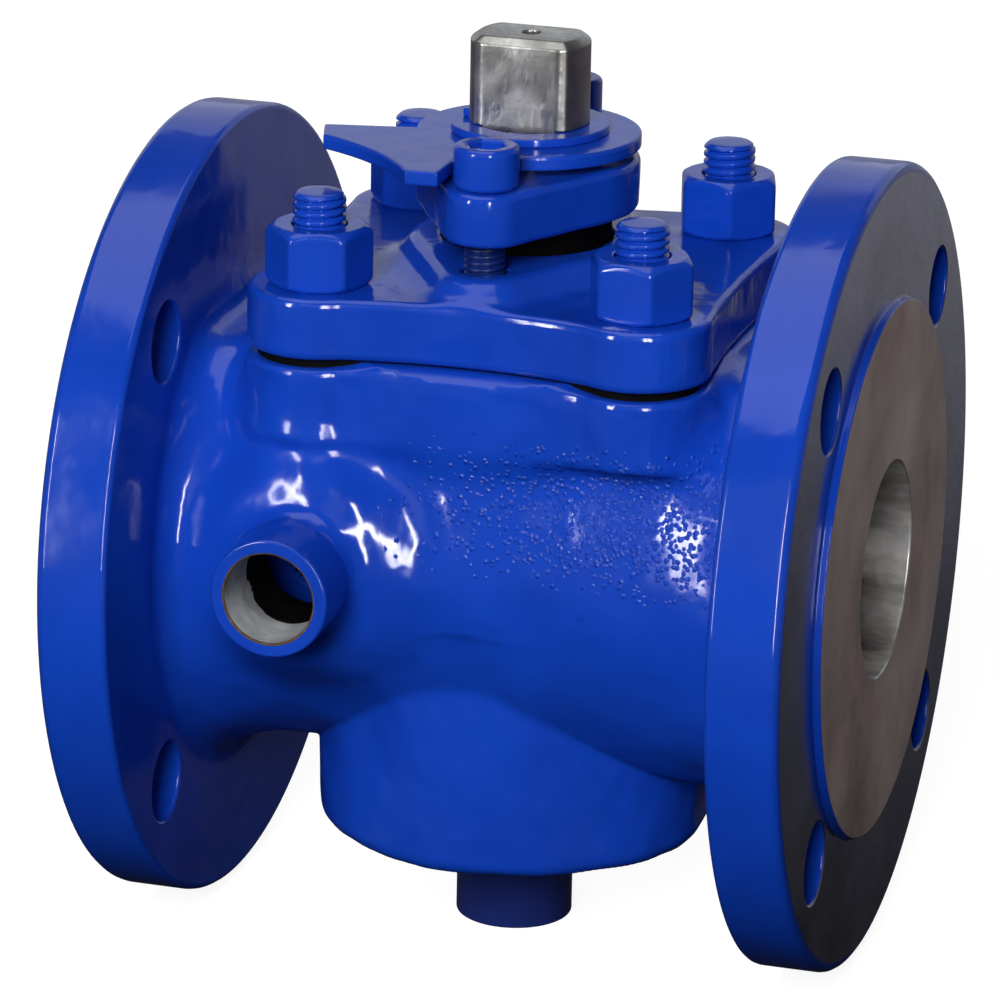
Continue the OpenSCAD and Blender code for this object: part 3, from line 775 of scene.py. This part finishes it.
def cover_sdf(x, y, z):
    off_z = np.hypot(x, y)
    plate = rounded_slab(square_outline(x, y), z, COVER_BOTTOM, COVER_TOP, 1.8)
    pad = rounded_slab(oval_outline(x, y, 27, 10, GLAND_Y), z, COVER_TOP - 8, PAD_TOP, 2.6)
    outer = smin(plate, pad, 9)
    outer = np.minimum(outer, np.maximum(off_z - 33.8, np.maximum(43.8 - z, z - 60)))
    collar = np.maximum(off_z - 24.5, z - 57)
    box = np.maximum(off_z - 20, 60 - z)
    screws = np.maximum(np.hypot(x, np.abs(y) - GLAND_Y) - 5.1, 57.5 - z)
    studs = np.hypot(np.abs(x) - STUD_X, np.abs(y) - STUD_Y) - 6.75
    inner = np.minimum.reduce(np.broadcast_arrays(collar, off_z - 14.2, box, screws, studs))
    return smax(outer, -inner, 0.7)


def gland_sdf(x, y, z):
    off_z = np.hypot(x, y)
    outer = rounded_slab(oval_outline(x, y, GLAND_R, GLAND_END_R, GLAND_Y), z, GLAND_BOTTOM, GLAND_TOP, 1.7)
    screws = np.hypot(x, np.abs(y) - GLAND_Y) - 5.4
    recess = np.maximum(off_z - 20, z - 82)
    return smax(outer, -np.minimum.reduce(np.broadcast_arrays(off_z - 14.4, screws, recess)), 0.7)


def hexagon(x, y, af):
    """Distance to a hexagon, af across its flats, with two of its corners on the X axis."""
    a = np.abs(math.sqrt(0.75) * x + 0.5 * y)
    b = np.abs(math.sqrt(0.75) * x - 0.5 * y)
    return np.maximum(np.maximum(a, b), np.abs(y)) - af / 2


def nut_sdf(x, y, z):
    r = np.hypot(x, y)
    sides = smax(smax(np.abs(y), np.abs(math.sqrt(0.75) * x + 0.5 * y), 0.9),
                 np.abs(math.sqrt(0.75) * x - 0.5 * y), 0.9) - NUT_AF / 2
    top = (r - 10.3) * 0.5 + (z - NUT_H) * math.cos(math.radians(30))
    low = (r - 11.0) * 0.5 - z * math.cos(math.radians(30))
    body = smax(smax(sides, np.maximum(top, z - NUT_H), 1.0), np.maximum(low, -z), 0.8)
    return smax(body, STUD_R + 0.1 - r, 0.5)


def screw_head_sdf(x, y, z):
    head = rounded_slab(np.hypot(x, y) - SCREW_HEAD_R, z, GLAND_TOP, SCREW_HEAD_TOP, 1.3)
    socket = smax(hexagon(x, y, 8.0), SCREW_HEAD_TOP - 5 - z, 0.5)
    return smax(head, -socket, 1.0)


uneven_cover = lumps(21, 20, 0.07)
cover = solid("cover", cover_sdf, ((-55, 55), (-55, 55), (43.8, 72.5)), 0.8,
              lambda x, y, z: uneven_cover(x, y, z) * np.clip((z - COVER_BOTTOM - 1) / 2, 0, 1)
              * np.clip((np.hypot(x, y) - 21) / 2, 0, 1))
place(cover, "body", "enamel", (CAST,), "bonnet_cover")
uneven_gland = lumps(22, 15, 0.10)
gland = solid("gland", gland_sdf, ((-26, 26), (-44, 44), (80, 92.6)), 0.6,
              lambda x, y, z: uneven_gland(x, y, z) * np.clip((np.hypot(x, y) - 20) / 2, 0, 1))
place(gland, "body", "enamel", (PAINT,), "gland_flange")

cuts = grid(-12.8, 12.8, 0.5)
nut = surface(nut_sdf, cuts, cuts, grid(0, NUT_H, 0.5))
nuts = moved(nut, STUDS, NUT_TURNS)
nuts[0] = nuts[0] + (0, 0, COVER_TOP)
place(mesh_object("cover_nuts", *nuts), "body", "enamel", (PAINT,), "bonnet_nuts")
rod = threaded(STUD_R, 1.954, 1.1, STUD_BOTTOM, STUD_TOP, 77.0, 1.3)
studs = even_shading(copies("cover_studs", *rod, STUDS), 60)
place(studs, "body", "enamel", (PAINT,), "bonnet_studs")

screw_places = ((0, -GLAND_Y), (0, GLAND_Y))
cuts = grid(-7.6, 7.6, 0.4)
head = surface(screw_head_sdf, cuts, cuts, grid(GLAND_TOP, SCREW_HEAD_TOP, 0.4))
place(mesh_object("screw_heads", *moved(head, screw_places)), "body", "enamel", (PAINT,), "gland_screws")
rod = threaded(SCREW_R, 1.5, 0.85, SCREW_BOTTOM, GLAND_TOP + 3, 59.0, 0.6, 40)
# The shanks are painted dark as shade under the gland lobes.
place(even_shading(copies("screw_shanks", *rod, screw_places), 60), "body", "enamel", (ENAMEL_PAINTED_SHADE,))


# ---------------------------------------------------------------- plug, stop plate and ring

def plug_sdf(x, y, z):
    r = np.hypot(x, y)
    slope = math.sqrt(1 + TAPER * TAPER)
    cone = smax((r - PLUG_R - TAPER * z) / slope, np.maximum(PLUG_BOTTOM - z, z - PLUG_TOP), 1.0)
    port = np.hypot(y, np.maximum(np.abs(z) - PORT_LIFT, 0)) - PORT_R
    cone = smax(cone, -port, 0.8)
    return np.minimum(cone, np.maximum(r - STEM_R, np.maximum(30 - z, z - PLATE_BOTTOM + 0.3)))


def stem_sdf(x, y, z):
    """The stem's double-D end, with bevelled corners, a bevelled top and a centre hole."""
    r, lean, tilt = np.hypot(x, y), math.radians(23), math.radians(54)
    flat = np.abs(y) - STEM_AF / 2
    corner = np.abs(x) * math.sin(lean) + np.abs(y) * math.cos(lean) - 12.15
    side = smax(smax(r - STEM_R, flat, 0.3), corner, 0.25)
    top = z - STEM_TOP
    bevel = side * math.cos(tilt) + top * math.sin(tilt) + 1.25
    end = smax(smax(np.maximum(side, PLATE_BOTTOM - 0.2 - z), top, 0.3), bevel, 0.3)
    groove = np.maximum(12.6 - r, np.abs(z - PLATE_TOP - 1.1) - 1.1)
    drill = np.maximum(r - 2.2, STEM_TOP - 4 - z)
    return smax(np.maximum(end, -groove), -drill, 0.4)


def plug():
    side = grid(-31, 31, 0.8)
    return mesh_object("plug_and_stem", *surface(plug_sdf, side, side, grid(-34, 94.2, 0.95)))


def stop_points():
    """Outline of the stop plate: a disc with a fan, bitten inwards, between its two stop arms."""
    arm, low, high = Vector((-15.5, -46.5)), Vector((-43, -22.5)), (-46, -12.5)
    chord = arm - low
    r = sag_radius(2.6, chord.length / 2)
    outward = Vector((chord.y, -chord.x)).normalized()
    centre = (low + arm) / 2 + outward * (r - 2.6)
    a0 = math.atan2(low.y - centre.y, low.x - centre.x)
    a1 = math.atan2(arm.y - centre.y, arm.x - centre.x)
    disc = arc_points((0, 0), PLATE_R, -math.pi / 2 - math.asin(8 / PLATE_R), math.pi + math.asin(7.8 / PLATE_R), 72)
    return disc + [high] + arc_points(centre, r, a0, a1, 16) + [(-8, -46)]


STOP = stop_points()


def stop_plate_sdf(x, y, z):
    outline = polygon_outline(x, y, STOP)
    hole = np.maximum(np.hypot(x, y) - STEM_R - 0.1, np.abs(y) - STEM_AF / 2 - 0.1)
    return rounded_slab(np.maximum(outline, -hole), z, PLATE_BOTTOM, PLATE_TOP, 0.6)


def ring_sdf(x, y, z):
    r = np.hypot(x, y)
    middle, half = math.radians(186), math.radians(23)
    across = np.abs(-x * math.sin(middle) + y * math.cos(middle))
    along = x * math.cos(middle) + y * math.sin(middle)
    gap = np.maximum(across * math.cos(half) - along * math.sin(half), -along)
    band = np.maximum(np.maximum(r - RING_R, RING_INNER_R - r), -gap)
    return rounded_slab(band, z, PLATE_TOP + 0.02, PLATE_TOP + RING_T, 0.35)


place(plug(), "plug", "stem_steel", (INNER,), "tapered_plug")
tip = solid("stem_end", stem_sdf, ((-14, 14), (-9.3, 9.3), (94.3, 121)), 0.3)
place(tip, "plug", "stem_steel", (STEEL, STEM_SIDE_SHADE))
# The round sides take the darker steel, painted shade; the flats keep the bright ground steel.
for f in tip.data.polygons:
    f.material_index = int(abs(f.center.x) / MM > 11.2 and abs(f.normal.z) < 0.3)
plate = solid("stop_disc", stop_plate_sdf, ((-47, 27), (-47, 27), (94.5, 98)), 0.5)
place(plate, "plug", "enamel", (PAINT,), "stop_plate")
ring = solid("snap_ring", ring_sdf, ((-19, 19), (-19, 19), (98, 100)), 0.36)
place(ring, "plug", "enamel", (PAINT,), "retaining_ring")

for material_, names in (
        (INNER, ("metal_diaphragm", "thrust_collar", "antistatic_ring", "packing_washer")),
        (PTFE, ("plug_sleeve", "ptfe_diaphragm", "packing_ring_1", "packing_ring_2", "packing_ring_3")),
        # The gasket keeps graphite's own black; on the steel follower the same black is painted shade under the gland.
        (GRAPHITE_AND_SHADE, ("cover_gasket", "gland_follower"))):
    for name in names:
        nodes[name].data.materials.clear()
        nodes[name].data.materials.append(material_)


# ---------------------------------------------------------------- floor, light and camera

AIM_SIDE, AIM_UP, DISTANCE, LENS = -0.0051, 0.0067, 1.3791, 208.8
AZIMUTH, ELEVATION, ROLL = (math.radians(a) for a in (16.53, 18.09, 1.07))
FLOOR = DRAIN_END * MM


def studio_white(tree, shader):
    """Pale paper that glows a little, so that it stays even and shows only a soft shadow."""
    shader.inputs["Base Color"].default_value = (0.30, 0.30, 0.30, 1)
    shader.inputs["Roughness"].default_value = 0.9
    shader.inputs["Specular IOR Level"].default_value = 0.0
    shader.inputs["Emission Color"].default_value = (1, 1, 1, 1)
    shader.inputs["Emission Strength"].default_value = 0.9


def floor():
    bpy.ops.mesh.primitive_plane_add(size=1, location=(0, 0, FLOOR))
    obj = bpy.context.object
    obj.name = "floor"
    obj.scale = (14, 14, 1)
    obj.data.materials.append(material("studio_floor", studio_white))
    return obj


def area_light(name, place_, aim, size, power, colour=(1, 1, 1), spread=180):
    light = bpy.data.lights.new(name, "AREA")
    light.shape, light.size, light.size_y = "RECTANGLE", size[0], size[1]
    light.energy, light.color, light.spread = power, colour, math.radians(spread)
    obj = bpy.data.objects.new(name, light)
    bpy.context.scene.collection.objects.link(obj)
    obj.location = place_
    obj.rotation_euler = (Vector(place_) - Vector(aim)).to_track_quat("Z", "Y").to_euler()
    obj.visible_camera = False
    return obj


def from_angle(azimuth, elevation, distance):
    """A place round the valve: azimuth 0 is in front (-Y), 90 is to the right (+X)."""
    a, e = math.radians(azimuth), math.radians(elevation)
    return (distance * math.sin(a) * math.cos(e), -distance * math.cos(a) * math.cos(e), distance * math.sin(e))


def camera():
    back = Vector(from_angle(math.degrees(AZIMUTH), math.degrees(ELEVATION), 1))
    right = Vector((math.cos(AZIMUTH), math.sin(AZIMUTH), 0))
    up = back.cross(right)
    right, up = (right * math.cos(ROLL) + up * math.sin(ROLL), up * math.cos(ROLL) - right * math.sin(ROLL))
    data = bpy.data.cameras.new("camera")
    data.lens, data.sensor_width, data.sensor_fit = LENS, 36, "HORIZONTAL"
    data.clip_start, data.clip_end = 0.05, 60
    obj = bpy.data.objects.new("camera", data)
    bpy.context.scene.collection.objects.link(obj)
    at = right * AIM_SIDE + up * AIM_UP + back * DISTANCE
    obj.matrix_world = Matrix((right, up, back)).transposed().to_4x4()
    obj.location = at
    bpy.context.scene.camera = obj


def world():
    """Dim room: darkest low down, paler round the horizon."""
    w = bpy.data.worlds.new("studio")
    bpy.context.scene.world = w
    w.use_nodes = True
    tree = w.node_tree
    direction = node(tree, "ShaderNodeTexCoord").outputs["Generated"]
    height = node(tree, "ShaderNodeSeparateXYZ", {"Vector": direction}).outputs["Z"]
    height = node(tree, "ShaderNodeMapRange", {"Value": height, "From Min": -1.0, "From Max": 1.0}).outputs["Result"]
    front = ramp(tree, height, (0.16, (0.003, 0.003, 0.004)), (0.30, (0.030, 0.028, 0.030)),
                 (0.38, (0.10, 0.10, 0.105)), (0.52, (0.10, 0.10, 0.105)), (0.70, (0.05, 0.05, 0.055)),
                 (1.0, (0.03, 0.03, 0.03)))
    rear = ramp(tree, height, (0.30, (0.008, 0.008, 0.010)), (0.34, (0.055, 0.055, 0.07)),
                (0.375, (0.23, 0.23, 0.27)), (0.44, (0.29, 0.30, 0.33)), (0.60, (0.15, 0.16, 0.175)),
                (1.0, (0.03, 0.03, 0.03)))
    depth = node(tree, "ShaderNodeSeparateXYZ", {"Vector": direction}).outputs["Y"]
    depth = node(tree, "ShaderNodeMapRange", {"Value": depth, "From Min": 0.2, "From Max": 0.8}).outputs[0]
    shade = mixed(tree, front, rear, depth)
    tree.links.new(shade, tree.nodes["Background"].inputs["Color"])


stage = floor()
stage.visible_diffuse = stage.visible_glossy = False
world()
camera()
soft = area_light("soft_key", from_angle(3, 27, 2.3), (0, 0, 0), (0.9, 0.9), 50)
rear = area_light("rear_fill", from_angle(188, 35, 2.3), (0, 0, 0), (1.2, 0.9), 12)
soft.visible_glossy = rear.visible_glossy = False
for lamp in (area_light("strip_left", from_angle(-30, 13, 2.3), (0, 0, 0), (0.14, 1.5), 22),
             area_light("strip_right", from_angle(27, 13, 2.3), (0, 0, 0), (0.16, 1.5), 25),
             area_light("overhead", from_angle(-60, 80, 1.8), (0, 0, 0), (1.8, 1.4), 11)):
    lamp.visible_diffuse = False
area_light("backdrop", from_angle(190, 20, 3.0), (0, 0, 0), (5.0, 1.7), 11, (0.93, 0.96, 1.0))
bpy.context.scene.view_settings.view_transform = "Standard"
